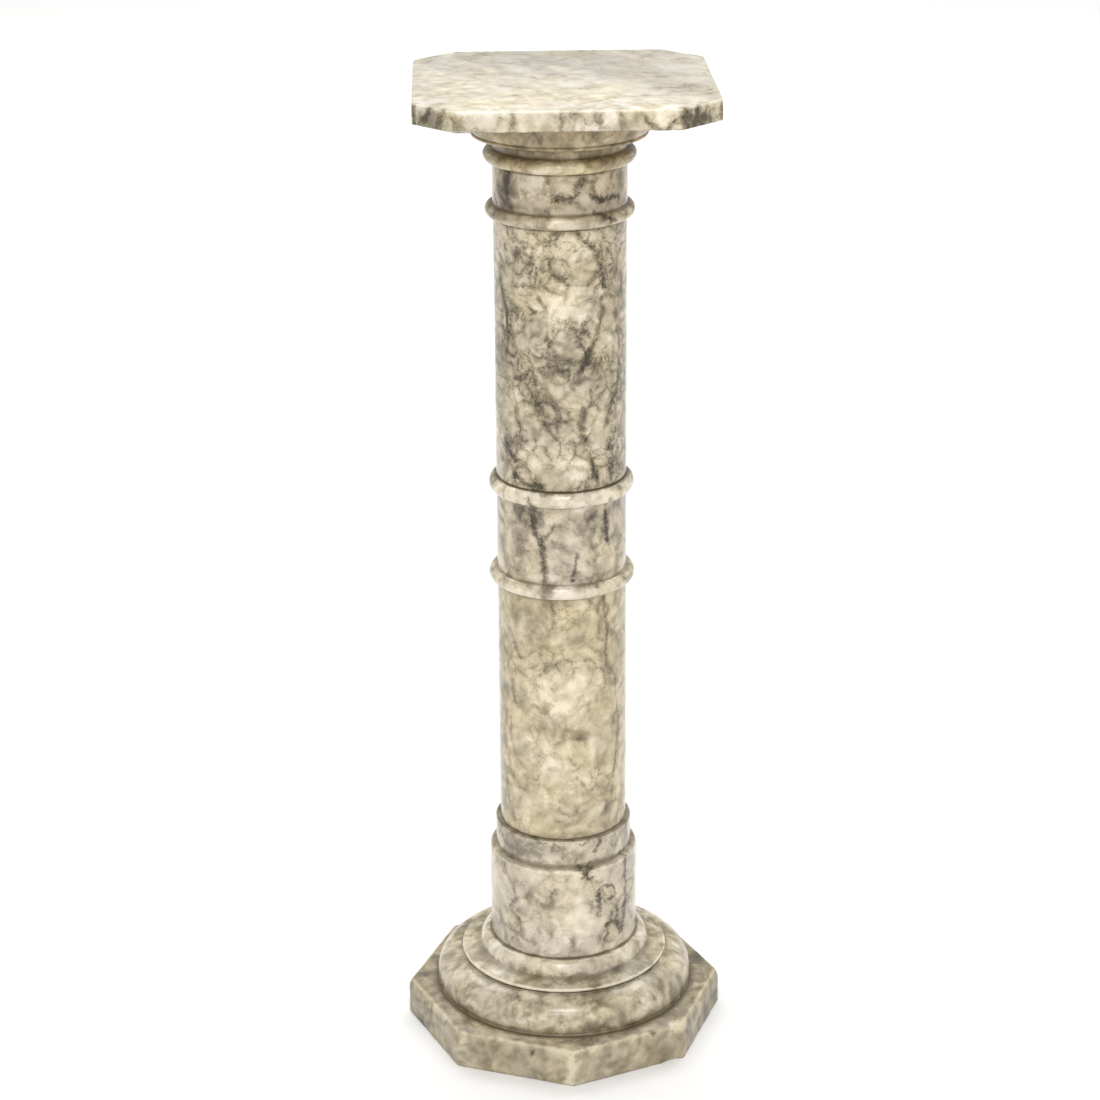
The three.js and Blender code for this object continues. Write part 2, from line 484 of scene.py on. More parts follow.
# %% [markdown]
# The capital is one stone: a ring, a short neck, a hollow cove that sweeps out to a thin listel, a quirk
# and a swelling echinus that carries the slab.

# %% Capital
first_ring = (8.8, 14.8)
cove_bottom = first_ring[1] + 4.5
cove_reach = 17.1
cove_height = 7.7
cap_listel = 85.5
cap_listel_bottom = cove_bottom + cove_height
quirk_bottom = cap_listel_bottom + 2.6
quirk_radius = 84.3
echinus_bottom = quirk_bottom + 1.4
echinus_sweep = math.radians(72)
echinus_height = 26.5
echinus_reach = 6
echinus_rise = echinus_height / math.sin(echinus_sweep)
echinus_centre = (84, echinus_bottom + echinus_height)
capital_outline = [
    *half_round(necking_radius, first_ring),
    *arc((necking_radius + cove_reach, cove_bottom), cove_reach, cove_height, math.pi, quarter, steps=8),
    (cap_listel, cap_listel_bottom),
    (cap_listel, quirk_bottom),
    (quirk_radius, quirk_bottom),
    (quirk_radius, echinus_bottom),
    *arc(echinus_centre, echinus_reach, echinus_rise, -echinus_sweep, 0, steps=10),
]
capital = turned_stone("Capital_stone", "capital", capital_outline, seed=47, chips=0.3)

# %% [markdown]
# The slab is sawn, not turned: a square with its corners cut off. A one-step bevel of the upright edges
# makes the cuts, and a fine bevel takes off every arris.

# %% Slab
slab_low, slab_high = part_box("top_slab")
slab_corner_cut = 40
slab_arris = 1.4
nibbled_band = 1.6


def make_slab():
    shape = bmesh.new()
    bmesh.ops.create_cube(shape, size=1)
    bmesh.ops.scale(shape, verts=shape.verts, vec=slab_high - slab_low)
    bmesh.ops.translate(shape, verts=shape.verts, vec=(slab_high + slab_low) / 2)
    bevel(shape, pick_edges(shape, level=False), slab_corner_cut, segments=1)
    arris_wear_and_highlights = bevel(shape, shape.edges[:], slab_arris)
    divide(shape, pick_edges(shape, level=True, longer_than=12), step=2.4)
    divide(shape, pick_edges(shape, level=False, longer_than=8), step=2.4)
    shape.normal_update()
    faces = (slab_low.z, slab_high.z)
    near_faces = [v for v in shape.verts if min(abs(v.co.z - z) for z in faces) < nibbled_band * MM]
    nibble(near_faces, depth=0.9, size=6, from_level=0.15, seed=7)
    nibble([v for v in arris_wear_and_highlights if v.is_valid], depth=0.4, size=3, seed=9)
    hand_polish(shape, depth=0.15, size=30, seed=13)
    return finish_piece("Slab_stone", shape, ["top_slab"])


slab = make_slab()

# %% [markdown]
# Now the finishes. Short helpers keep the node trees readable: one adds a node and feeds its sockets,
# with a value or with another node's socket, and the others name the jobs that come back often.

# %% Helpers for node trees
def colour(code):
    """A linear colour from a web colour code, as a paint chart gives it."""
    parts = [int(code[i : i + 2], 16) / 255 for i in (1, 3, 5)]
    return (*[p / 12.92 if p < 0.04045 else ((p + 0.055) / 1.055) ** 2.4 for p in parts], 1)


def feed(tree, node, feeds):
    for name, value in feeds.items():
        if isinstance(value, bpy.types.NodeSocket):
            tree.links.new(value, node.inputs[name])
        else:
            node.inputs[name].default_value = value


def add(tree, kind, feeds, **settings):
    node = tree.nodes.new(kind)
    for name, value in settings.items():
        setattr(node, name, value)
    feed(tree, node, feeds)
    return node


def maths(tree, operation, *values, clamp=False):
    feeds = dict(enumerate(values))
    return add(tree, "ShaderNodeMath", feeds, operation=operation, use_clamp=clamp).outputs[0]


def vectors(tree, operation, *values):
    node = add(tree, "ShaderNodeVectorMath", dict(enumerate(values)), operation=operation)
    return node.outputs["Value" if operation in ("DOT_PRODUCT", "LENGTH", "DISTANCE") else "Vector"]


def scaled(tree, vector, factor):
    return add(tree, "ShaderNodeVectorMath", {0: vector, "Scale": factor}, operation="SCALE").outputs[0]


def fade(tree, value, low, high, start=0.0, end=1.0):
    """A smooth rise from start to end while the value goes from low to high."""
    feeds = {"Value": value, "From Min": low, "From Max": high, "To Min": start, "To Max": end}
    return add(tree, "ShaderNodeMapRange", feeds, interpolation_type="SMOOTHSTEP").outputs["Result"]


def blend(tree, factor, first, second, how="MIX"):
    node = add(tree, "ShaderNodeMix", {0: factor, 6: first, 7: second}, data_type="RGBA", blend_type=how)
    return node.outputs[2]


def clouds(tree, vector, size, detail=2.0, roughness=0.5, output="Fac"):
    """Noise whose clouds are about this many millimetres wide."""
    feeds = {"Vector": vector, "Scale": 1 / size, "Detail": detail, "Roughness": roughness}
    return add(tree, "ShaderNodeTexNoise", feeds).outputs[output]


def wobble(tree, vector, size, detail=2.0, roughness=0.5):
    """A push in all directions, from -0.5 to 0.5, that changes over about this many millimetres."""
    colours = clouds(tree, vector, size, detail, roughness, "Color")
    return vectors(tree, "SUBTRACT", colours, (0.5, 0.5, 0.5))


def new_group(name, inputs, outputs):
    """A shader node group. An input is given as a first number or colour, or as None for a vector."""
    group = bpy.data.node_groups.new(name, "ShaderNodeTree")
    for label, value in inputs.items():
        kind = "Vector" if value is None else "Float" if isinstance(value, float) else "Color"
        made = group.interface.new_socket(label, in_out="INPUT", socket_type=f"NodeSocket{kind}")
        if value is not None:
            made.default_value = value
    for label, kind in outputs.items():
        group.interface.new_socket(label, in_out="OUTPUT", socket_type=f"NodeSocket{kind}")
    inside = group.nodes.new("NodeGroupInput").outputs
    outside = group.nodes.new("NodeGroupOutput").inputs
    return group, inside, outside


def use(tree, group, feeds):
    node = tree.nodes.new("ShaderNodeGroup")
    node.node_tree = group
    feed(tree, node, feeds)
    return node.outputs


# %% [markdown]
# Cloudy marble. Pale rounded cells a centimetre or two wide have soft grey outlines with fine charcoal
# flecks in them. In the real stone all of this is one thing, how much dark mineral lies at a place, so
# the group gives one number, the shade: about 0 in the palest cells and 1 in the darkest flecks. A cell
# pattern bent by two noises gives the outlines. Positions are in millimetres.

# %% Group: cloudy marble
def around_zero(tree, noise_value, gain):
    """A noise value between 0 and 1, moved to lie about 0 and made this much stronger."""
    return maths(tree, "MULTIPLY_ADD", noise_value, gain, -gain / 2)


def make_cloudy_marble():
    group, given, result = new_group(
        "Cloudy marble",
        {
            "Position": None,
            "Cell size": 12.0,
            "Depth": 0.4,
            "Mottling": 0.8,
            "Outlines": 0.6,
            "Flecks": 0.5,
            "Cover": 0.5,
        },
        {"Shade": "Float", "Fleck": "Float"},
    )
    position = given["Position"]
    slow = wobble(group, position, 46)
    quick = wobble(group, position, 9, 4, 0.62)
    bent = vectors(group, "ADD", position, scaled(group, slow, 34.0))
    crumpled = vectors(group, "ADD", bent, scaled(group, quick, 11.0))

    def cell_distance(size_ratio):
        scale = maths(group, "DIVIDE", size_ratio, given["Cell size"])
        feeds = {"Vector": crumpled, "Scale": scale}
        return add(group, "ShaderNodeTexVoronoi", feeds, feature="DISTANCE_TO_EDGE").outputs["Distance"]

    # Dark lines round the large cells and fainter ones round small cells within them.
    large = cell_distance(1.0)
    lines = maths(
        group,
        "MAXIMUM",
        fade(group, large, 0.0, 0.15, 1.0, 0.0),
        fade(group, cell_distance(2.3), 0.0, 0.17, 0.4, 0.0),
    )
    # They show only under some clouds, and are broken up into flecks.
    cover_from = maths(group, "MULTIPLY_ADD", given["Cover"], -0.36, 0.62)
    cover_to = maths(group, "ADD", cover_from, 0.18)
    cover = fade(group, clouds(group, bent, 30, 3, 0.6), cover_from, cover_to, 0.05, 1.0)
    fleck = fade(group, clouds(group, position, 1.7, 3, 0.7), 0.4, 0.6, 0.1, 1.0)
    lines = maths(group, "MULTIPLY", maths(group, "MULTIPLY", lines, cover), fleck)
    # A cell is paler in its middle and greyer at its rim.
    halos = fade(group, large, 0.0, 0.5, 0.24, -0.16)
    drawn = maths(group, "MULTIPLY", maths(group, "MULTIPLY_ADD", lines, 0.6, halos), given["Outlines"])
    stray = fade(group, clouds(group, crumpled, 4.5, 5, 0.72), 0.5, 0.66, 0.0, 0.45)
    stray = maths(group, "MULTIPLY", maths(group, "MULTIPLY", stray, cover), given["Flecks"])
    # Broad clouds of two sizes, and last a fine grain over everything.
    mottle = maths(
        group,
        "ADD",
        around_zero(group, clouds(group, bent, 13, 3, 0.5), 1.9),
        around_zero(group, clouds(group, bent, 38, 2, 0.5), 1.7),
    )
    shade = maths(group, "MULTIPLY_ADD", mottle, given["Mottling"], given["Depth"])
    shade = maths(group, "ADD", shade, maths(group, "ADD", drawn, stray))
    shade = maths(group, "ADD", shade, around_zero(group, clouds(group, position, 3.5, 4, 0.7), 0.35))
    group.links.new(shade, result["Shade"])
    group.links.new(fleck, result["Fleck"])
    return group


cloudy_marble = make_cloudy_marble()
print("made", cloudy_marble.name)

# %% [markdown]
# The shade becomes a colour through four tones of the stone, from its palest cells to its veins. Marble
# like this is stained unevenly by iron, so a slow noise leans it towards honey in one place and towards
# a cool lilac in another.

# %% Group: marble tones
def make_marble_tones():
    group, given, result = new_group(
        "Marble tones",
        {
            "Position": None,
            "Shade": 0.4,
            "Pale": colour("#ebe1c9"),
            "Body": colour("#b8ad94"),
            "Grey": colour("#877e6a"),
            "Vein": colour("#4a4538"),
        },
        {"Color": "Color"},
    )
    stone = given["Pale"]
    for tone, low, high in (("Body", -0.05, 0.42), ("Grey", 0.42, 0.78), ("Vein", 0.78, 1.25)):
        feeds = {"Value": given["Shade"], "From Min": low, "From Max": high}
        share = add(group, "ShaderNodeMapRange", feeds).outputs["Result"]
        stone = blend(group, share, stone, given[tone])
    stain = fade(group, clouds(group, given["Position"], 45, 3, 0.5), 0.3, 0.7)
    tint = blend(group, stain, (0.98, 0.975, 1.01, 1), (1.02, 1.0, 0.93, 1))
    group.links.new(blend(group, 1.0, stone, tint, "MULTIPLY"), result["Color"])
    return group


marble_tones = make_marble_tones()
print("made", marble_tones.name)

# %% [markdown]
# The largest veins and clouds sit where they do on the real stones. To place them, a round stone is
# unrolled: one number is the way round it in millimetres from the front, the other is the height. The
# half turn at the back repeats the front, so no side is left blank.

# %% Group: unrolled position
def make_unrolled():
    group, given, result = new_group(
        "Unrolled position",
        {"Position": None, "Radius": shaft_radius},
        {"Place": "Vector", "Height": "Float", "From axis": "Float", "Across flats": "Float"},
    )
    split = add(group, "ShaderNodeSeparateXYZ", {0: given["Position"]}).outputs
    side = maths(group, "SIGN", maths(group, "MULTIPLY", split["Y"], -1.0))
    sideways = maths(group, "MULTIPLY", split["X"], side)
    angle = maths(group, "ARCTAN2", sideways, maths(group, "ABSOLUTE", split["Y"]))
    around = maths(group, "MULTIPLY", angle, given["Radius"])
    place = add(group, "ShaderNodeCombineXYZ", {"X": around, "Y": split["Z"]}).outputs[0]
    flat = add(group, "ShaderNodeCombineXYZ", {"X": split["X"], "Y": split["Y"]}).outputs[0]
    group.links.new(place, result["Place"])
    group.links.new(split["Z"], result["Height"])
    group.links.new(vectors(group, "LENGTH", flat), result["From axis"])
    across = 0.0
    for side_number in range(4):
        facing = plinth_turn + (side_number + 0.5) * math.tau / 8
        out = vectors(group, "DOT_PRODUCT", flat, (math.cos(facing), math.sin(facing), 0))
        across = maths(group, "MAXIMUM", across, maths(group, "ABSOLUTE", out))
    group.links.new(across, result["Across flats"])
    return group


unrolled_position = make_unrolled()
print("made", unrolled_position.name)

# %% [markdown]
# One stretch of a placed vein is the band round a straight line between two points. The ragged value
# makes its edge wander. A placed cloud is a soft blot with a centre and a reach.

# %% Groups: vein stretch and cloud
def make_vein_stretch():
    group, given, result = new_group(
        "Vein stretch",
        {"Place": None, "From": None, "To": None, "Width": 2.0, "Ragged": 0.0},
        {"Mask": "Float"},
    )
    along = vectors(group, "SUBTRACT", given["To"], given["From"])
    out = vectors(group, "SUBTRACT", given["Place"], given["From"])
    reached = vectors(group, "DOT_PRODUCT", out, along)
    share = maths(group, "DIVIDE", reached, vectors(group, "DOT_PRODUCT", along, along), clamp=True)
    foot = scaled(group, along, share)
    distance = maths(group, "ADD", vectors(group, "DISTANCE", out, foot), given["Ragged"])
    group.links.new(fade(group, distance, 0.0, given["Width"], 1.0, 0.0), result["Mask"])
    return group


def make_cloud():
    group, given, result = new_group(
        "Placed cloud",
        {"Place": None, "Centre": None, "Reach": None, "Ragged": 0.0},
        {"Mask": "Float"},
    )
    away = vectors(group, "SUBTRACT", given["Place"], given["Centre"])
    share = vectors(group, "DIVIDE", away, given["Reach"])
    distance = maths(group, "ADD", vectors(group, "LENGTH", share), given["Ragged"])
    group.links.new(fade(group, distance, 0.35, 1.15, 1.0, 0.0), result["Mask"])
    return group


vein_stretch = make_vein_stretch()
placed_cloud = make_cloud()
print("made", vein_stretch.name, "and", placed_cloud.name)

# %% [markdown]
# A patchy band round a level, or round a distance from the axis, that thins out unevenly. Mixed to
# brown-olive, it is the grime that gathers where a cloth can't reach, in the joints and at the foot of
# mouldings, and in the quirks and under mouldings it is also painted shade. Pulled pale, it paints
# highlights along arrises.

# %% Group: patchy band
def make_seam_grime():
    group, given, result = new_group(
        "Patchy band",
        {"Position": None, "Measure": 0.0, "Seam": 0.0, "Reach": 5.0},
        {"Mask": "Float"},
    )
    patchy = clouds(group, given["Position"], 14, 4, 0.65)
    distance = maths(group, "ABSOLUTE", maths(group, "SUBTRACT", given["Measure"], given["Seam"]))
    reach = maths(group, "MULTIPLY", given["Reach"], fade(group, patchy, 0.3, 0.7, 0.35, 1.5))
    mask = fade(group, maths(group, "DIVIDE", distance, reach), 0.0, 1.0, 1.0, 0.0)
    group.links.new(maths(group, "POWER", mask, 1.4), result["Mask"])
    return group


patchy_band = make_seam_grime()
grime_and_shade_colour = colour("#5b4f33")
print("made", patchy_band.name)

# %% [markdown]
# One function mixes a stone: the marble's shade, made darker or paler by its placed veins and clouds and
# paler in the painted highlights along arrises, then its tones, and the grime and painted shade of its
# seams. The shader is a polished stone: a low roughness that rises in the veins and the seam bands, and a
# little light carried under the surface, as in alabaster.

# %% A stone's material
def strongest(tree, masks):
    total = masks[0]
    for mask in masks[1:]:
        total = maths(tree, "MAXIMUM", total, mask)
    return total


def in_space(point, fill=0):
    """A place on an unrolled stone has two numbers and gets a third."""
    return (*point, fill) if len(point) == 2 else point


def marble(
    name, grain, tones, radius=None, veins=(), patches=(), arris_wear_and_highlights=(), seams=(), offset=(0, 0, 0), roughness=0.1
):
    """Grain is cell size, depth, mottling, outlines, flecks and cover. Tones are pale, body, grey, vein.

    A vein is a line, its width and its darkness, and a patch is a centre, its reach and its darkness. An
    arris band, painted pale as a highlight, and a seam band of grime and painted shade each have a height,
    reach and strength, and what else than height they are measured by.
    """
    material = bpy.data.materials.new(name)
    material.use_nodes = True
    tree = material.node_tree
    shader = tree.nodes["Principled BSDF"]
    source = tree.nodes.new("ShaderNodeTexCoord").outputs["Object"]
    millimetres = add(tree, "ShaderNodeMapping", {"Vector": source, "Scale": (1000, 1000, 1000)}).outputs[0]
    grain_place = add(tree, "ShaderNodeMapping", {"Vector": millimetres, "Location": offset}).outputs[0]
    look = dict(zip(("Cell size", "Depth", "Mottling", "Outlines", "Flecks", "Cover"), grain))
    stone = use(tree, cloudy_marble, {"Position": grain_place, **look})
    shade = stone["Shade"]

    rolled = use(tree, unrolled_position, {"Position": millimetres, "Radius": radius or shaft_radius})
    place = rolled["Place"] if radius else millimetres
    place = vectors(tree, "ADD", place, scaled(tree, wobble(tree, grain_place, 15, 4, 0.62), 13.0))
    ragged = around_zero(tree, clouds(tree, grain_place, 3.2, 4, 0.7), 8.0)
    cloud_ragged = around_zero(tree, clouds(tree, grain_place, 9, 4, 0.65), 2.4)

    def band(position, level, reach, measure="Height"):
        feeds = {"Position": position, "Measure": rolled[measure], "Seam": level, "Reach": reach}
        return use(tree, patchy_band, feeds)["Mask"]

    for centre, reach, push in patches:
        feeds = {"Centre": in_space(centre), "Reach": in_space(reach, 1000), "Ragged": cloud_ragged}
        mask = use(tree, placed_cloud, {"Place": place, **feeds})["Mask"]
        shade = maths(tree, "MULTIPLY_ADD", mask, push, shade)
    flecked = maths(tree, "MULTIPLY_ADD", stone["Fleck"], 0.38, 0.58)
    for line, width, push in veins:
        stretches = []
        for first, second in zip(line, line[1:]):
            ends = {"From": in_space(first), "To": in_space(second)}
            feeds = {"Place": place, "Width": width * 1.6, "Ragged": ragged, **ends}
            stretches.append(use(tree, vein_stretch, feeds)["Mask"])
        drawn = maths(tree, "MULTIPLY", strongest(tree, stretches), flecked)
        shade = maths(tree, "MULTIPLY_ADD", drawn, push, shade)
    # Pale bands along arrises, pulled out of the shade, are painted highlights.
    for level, reach, amount, *measure in arris_wear_and_highlights:
        painted_highlight = band(grain_place, level, reach, *measure)
        shade = maths(tree, "MULTIPLY_ADD", painted_highlight, -amount, shade)

    colours = dict(zip(("Pale", "Body", "Grey", "Vein"), map(colour, tones)))
    base = use(tree, marble_tones, {"Position": grain_place, "Shade": shade, **colours})["Color"]
    roughening = fade(tree, shade, 0.4, 1.2, 0.0, 0.6)
    # Seam bands: grime in the joints, and painted shade in the quirks and under the mouldings.
    bands = []
    for level, reach, amount, *measure in seams:
        bands.append(maths(tree, "MULTIPLY", band(millimetres, level, reach, *measure), amount))
    grime_and_shade = strongest(tree, bands)
    base = blend(tree, grime_and_shade, base, grime_and_shade_colour)
    roughening = maths(tree, "MAXIMUM", roughening, grime_and_shade)

    tree.links.new(base, shader.inputs["Base Color"])
    dulled = fade(tree, roughening, 0.0, 1.0, roughness, roughness + 0.25)
    tree.links.new(dulled, shader.inputs["Roughness"])
    pits = clouds(tree, millimetres, 3.0, 3, 0.6)
    relief = add(tree, "ShaderNodeBump", {"Strength": 0.25, "Distance": 0.0002, "Height": pits})
    tree.links.new(relief.outputs[0], shader.inputs["Normal"])
    shader.inputs["Subsurface Weight"].default_value = 0.12
    shader.inputs["Subsurface Radius"].default_value = (1.0, 0.8, 0.55)
    shader.inputs["Subsurface Scale"].default_value = 0.004
    shader.inputs["IOR"].default_value = 1.5
    return material


def level_of(node, top=False):
    """The height of a stone's lower or upper bed, in millimetres."""
    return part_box(node)[1 if top else 0].z / MM


# %% [markdown]
# The slab is one of the quietest stones. Its top is nearly plain, its front is warm cream with tan-grey
# cells, and its cut corners have dark upright veins. It isn't unrolled, so its places have three numbers.

# %% Finish of the slab
slab_front = slab_low.y / MM
front_veins = [
    ([(-5, 1000), (-2, 990), (-4, 979)], 2.4, 0.45),
    ([(8, 996), (20, 990), (14, 981)], 2.4, 0.3),
    ([(24, 1003), (27, 995), (34, 989)], 2.4, 0.45),
    ([(49, 1003), (52, 990), (50, 979)], 2.6, 0.4),
    ([(73, 992), (80, 983), (92, 981), (99, 990)], 2.6, 0.6),
    ([(-50, 999), (-46, 988), (-52, 980)], 2.4, 0.3),
]
slab_veins = [
    *[([(x, slab_front, z) for x, z in line], width, push) for line, width, push in front_veins],
    ([(109, -140, 1002), (109, -140, 979)], 6.0, 1.0),
    ([(122, -127, 1001), (117, -132, 982)], 4.0, 0.9),
    ([(131, -118, 999), (127, -122, 988)], 3.0, 0.5),
    ([(145, -105, 998), (144, -106, 982)], 3.5, 0.7),
    ([(-138, -104, 1000), (-137, -105, 980)], 4.5, 0.9),
    ([(-122, -120, 1001), (-131, -112, 980)], 3.5, 0.8),
    ([(-112, -131, 1000), (-115, -128, 984)], 4.5, 0.8),
    ([(14, -116, 1000), (43, -91, 1000), (71, -84, 1000), (146, -76, 1000)], 3.0, 0.4),
]
slab_patches = [
    ((3, 0, 1001), (400, 400, 7), -0.22),
    ((88, slab_front, 992), (10, 14, 9), -0.35), ((41, slab_front, 992), (8, 12, 9), -0.3),
    ((17, slab_front, 984), (12, 12, 7), -0.35), ((125, -51, 1000), (45, 26, 20), 0.25),
    ((124, -125, 988), (22, 22, 14), 0.48), ((-119, -123, 988), (20, 20, 14), 0.3),
    ((126, 123, 990), (17, 17, 30), 0.2), ((-119, 123, 990), (18, 18, 30), 0.25),
]
slab_marble = marble(
    "Marble of the slab",
    grain=(22, 0.38, 0.42, 0.6, 0.4, 0.45),
    tones=("#f4eedd", "#d4cab2", "#a1977f", "#57503e"),
    veins=slab_veins,
    patches=slab_patches,
    # The pale band along the top arris is a painted highlight.
    arris_wear_and_highlights=[(999, 2.2, 0.25)],
    seams=[(level_of("top_slab"), 2.0, 0.5)],
    offset=(40, 310, 70),
)

# %% [markdown]
# The capital is tan and even, with grime under the slab. Over its ring lies a band that is partly grime
# and partly painted shade, and its neck under the cove is darkened, partly its greyer stone and partly
# painted shade. The necking drum has a large pale cloud on its left and dark veins on its right.

# %% Finish of the capital
capital_bed = level_of("capital")
capital_marble = marble(
    "Marble of the capital",
    grain=(20, 0.42, 0.6, 0.6, 0.5, 0.55),
    tones=("#e6dbbf", "#c0af8c", "#918266", "#584b36"),
    radius=necking_radius,
    # The first patch darkens the neck under the cove, partly its greyer stone and partly painted shade.
    patches=[((0, capital_bed + 20), (400, 7), 0.1), ((0, capital_bed + 6), (400, 6), -0.2)],
    seams=[
        (capital_bed, 1.4, 0.7),
        # The band over the ring is partly grime and partly painted shade.
        (capital_bed + first_ring[1], 4.0, 0.6),
        (level_of("top_slab"), 2.0, 0.7),
    ],
    offset=(210, 20, 400),
)

# %% Finish of the necking drum
necking_bed = level_of("necking_drum")
necking_marble = marble(
    "Marble of the necking",
    grain=(19, 0.41, 0.6, 0.6, 0.6, 0.55),
    tones=("#e7dcc4", "#c0b297", "#887c64", "#42392a"),
    radius=necking_radius,
    veins=[
        ([(-60, 922), (-62, 906), (-58, 896)], 3.0, 0.6),
        ([(-12, 897), (-2, 901), (7, 897), (14, 903)], 2.8, 0.7),
        ([(27, 901), (38, 895), (48, 896), (63, 895)], 3.4, 0.85),
        ([(34, 925), (30, 908), (38, 896)], 2.8, 0.5),
        ([(22, 921), (13, 908)], 3.0, 0.5),
        ([(31, 884), (43, 880), (51, 874)], 2.6, 0.7),
    ],
    patches=[
        ((-66, 905), (18, 30), 0.36), ((-34, 912), (24, 14), -0.55), ((-28, 896), (22, 9), -0.3),
        ((-2, 912), (16, 9), -0.15), ((42, 913), (18, 12), -0.3), ((0, 876), (18, 8), -0.3),
    ],
    seams=[
        (necking_bed, 1.6, 0.85),
        (necking_bed + second_ring[1], 3.0, 0.6),
        (level_of("necking_drum", True), 1.6, 0.8),
    ],
    offset=(90, 130, 20),
)

# %% [markdown]
# The upper shaft is the liveliest stone: close grey mottling with long charcoal veins that run down both
# sides, and one large clear cream cell near the middle of its upper half.

# %% Finish of the upper shaft
upper_marble = marble(
    "Marble of the upper shaft",
    grain=(15, 0.35, 0.52, 0.8, 1.0, 0.62),
    tones=("#e9e0cc", "#c0b49a", "#897e67", "#413a2e"),
    radius=shaft_radius,
    veins=[
        ([(13, 868), (27, 853), (34, 838), (39, 825), (43, 811)], 3.0, 0.6),
        ([(39, 797), (41, 789), (38, 776), (32, 761), (24, 738)], 3.2, 0.5),
        ([(33, 826), (22, 810)], 3.0, 0.4), ([(19, 846), (13, 838)], 3.0, 0.4),
        ([(-74, 816), (-62, 782), (-58, 765), (-63, 744)], 3.4, 0.55),
        ([(-24, 803), (-16, 790), (-32, 788)], 2.4, 0.55), ([(-15, 761), (-7, 746)], 3.0, 0.45),
        ([(57, 782), (64, 757), (66, 726), (64, 706), (55, 693), (44, 668)], 3.0, 0.55),
        ([(24, 748), (14, 721), (-4, 697)], 4.2, 0.34),
        ([(-50, 720), (-30, 723), (-26, 700), (-23, 688)], 3.2, 0.5),
        ([(19, 690), (17, 675), (22, 649)], 4.0, 0.5), ([(-18, 676), (-9, 660)], 3.2, 0.45),
        ([(-52, 619), (-40, 612), (-22, 613)], 3.6, 0.85), ([(29, 636), (33, 620)], 3.2, 0.75),
        ([(50, 650), (55, 632), (52, 615)], 3.0, 0.6), ([(-68, 650), (-51, 635)], 3.4, 0.7),
        ([(-54, 704), (-49, 692), (-51, 676), (-40, 667)], 2.2, 0.5),
    ],
    patches=[
        ((0, 850), (90, 45), -0.1), ((4, 786), (23, 21), -0.4), ((9, 850), (24, 14), -0.2),
        ((-27, 847), (20, 16), -0.15), ((9, 812), (16, 13), -0.25), ((38, 656), (15, 18), -0.15),
        ((8, 630), (16, 17), -0.22), ((-30, 622), (36, 14), 0.12), ((-13, 740), (15, 14), 0.12),
        ((16, 724), (14, 16), 0.16), ((-18, 686), (17, 12), 0.16), ((-78, 730), (14, 90), 0.12),
    ],
    seams=[(level_of("upper_shaft"), 2.6, 0.9), (level_of("upper_shaft", True), 2.0, 0.85)],
)

# %% [markdown]
# The middle drum is paler and pinker, with a few strong upright veins, some of which start in its upper
# ring, and a dark blot on its lower one. The rings catch the light and look cleaner.

# %% Finish of the middle drum
middle_bottom = level_of("middle_drum")
middle_top = level_of("middle_drum", True)
middle_marble = marble(
    "Marble of the middle drum",
    grain=(26, 0.36, 0.62, 0.5, 0.55, 0.5),
    tones=("#ebe2cf", "#c5b9a1", "#918774", "#463e30"),
    radius=shaft_radius,
    veins=[
        ([(-31, 600), (-32, 581), (-30, 568), (-27, 556), (-22, 546), (-20, 530), (-19, 513)], 3.4, 0.85),
        ([(-10, 572), (-22, 558)], 2.8, 0.7),
        ([(12, 542), (10, 529), (8, 513)], 2.6, 0.8),
        ([(-8, 553), (-1, 549), (3, 545)], 4.4, 0.5),
        ([(44, 596), (45, 572), (47, 550)], 2.6, 0.85),
        ([(28, 546), (38, 547), (43, 562)], 3.0, 0.4),
        ([(-64, 606), (-60, 596)], 2.6, 0.5), ([(56, 606), (61, 602), (58, 594)], 2.6, 0.55),
    ],
    patches=[
        ((-45, 580), (13, 15), 0.4), ((28, 583), (8, 12), 0.32), ((27, 560), (8, 26), 0.2),
        ((-14, 583), (10, 12), -0.22), ((-8, 526), (9, 18), -0.22), ((-36, 535), (12, 20), -0.12),
        ((-18, 502), (13, 8), 0.55), ((0, 598), (110, 10), -0.5), ((0, 500), (110, 9), -0.45),
    ],
    seams=[
        (middle_bottom, 1.6, 0.8), (middle_bottom + fourth_ring[1], 2.2, 0.5),
        # The band under the upper ring is partly grime and partly painted shade.
        (middle_top - third_ring[1], 2.0, 0.6), (middle_top, 1.5, 0.85),
    ],
    offset=(330, 60, 10),
)

# %% [markdown]
# The lower shaft is warm and quiet: butter-cream cells, faint tan outlines, and one thin grey vein on the
# right.

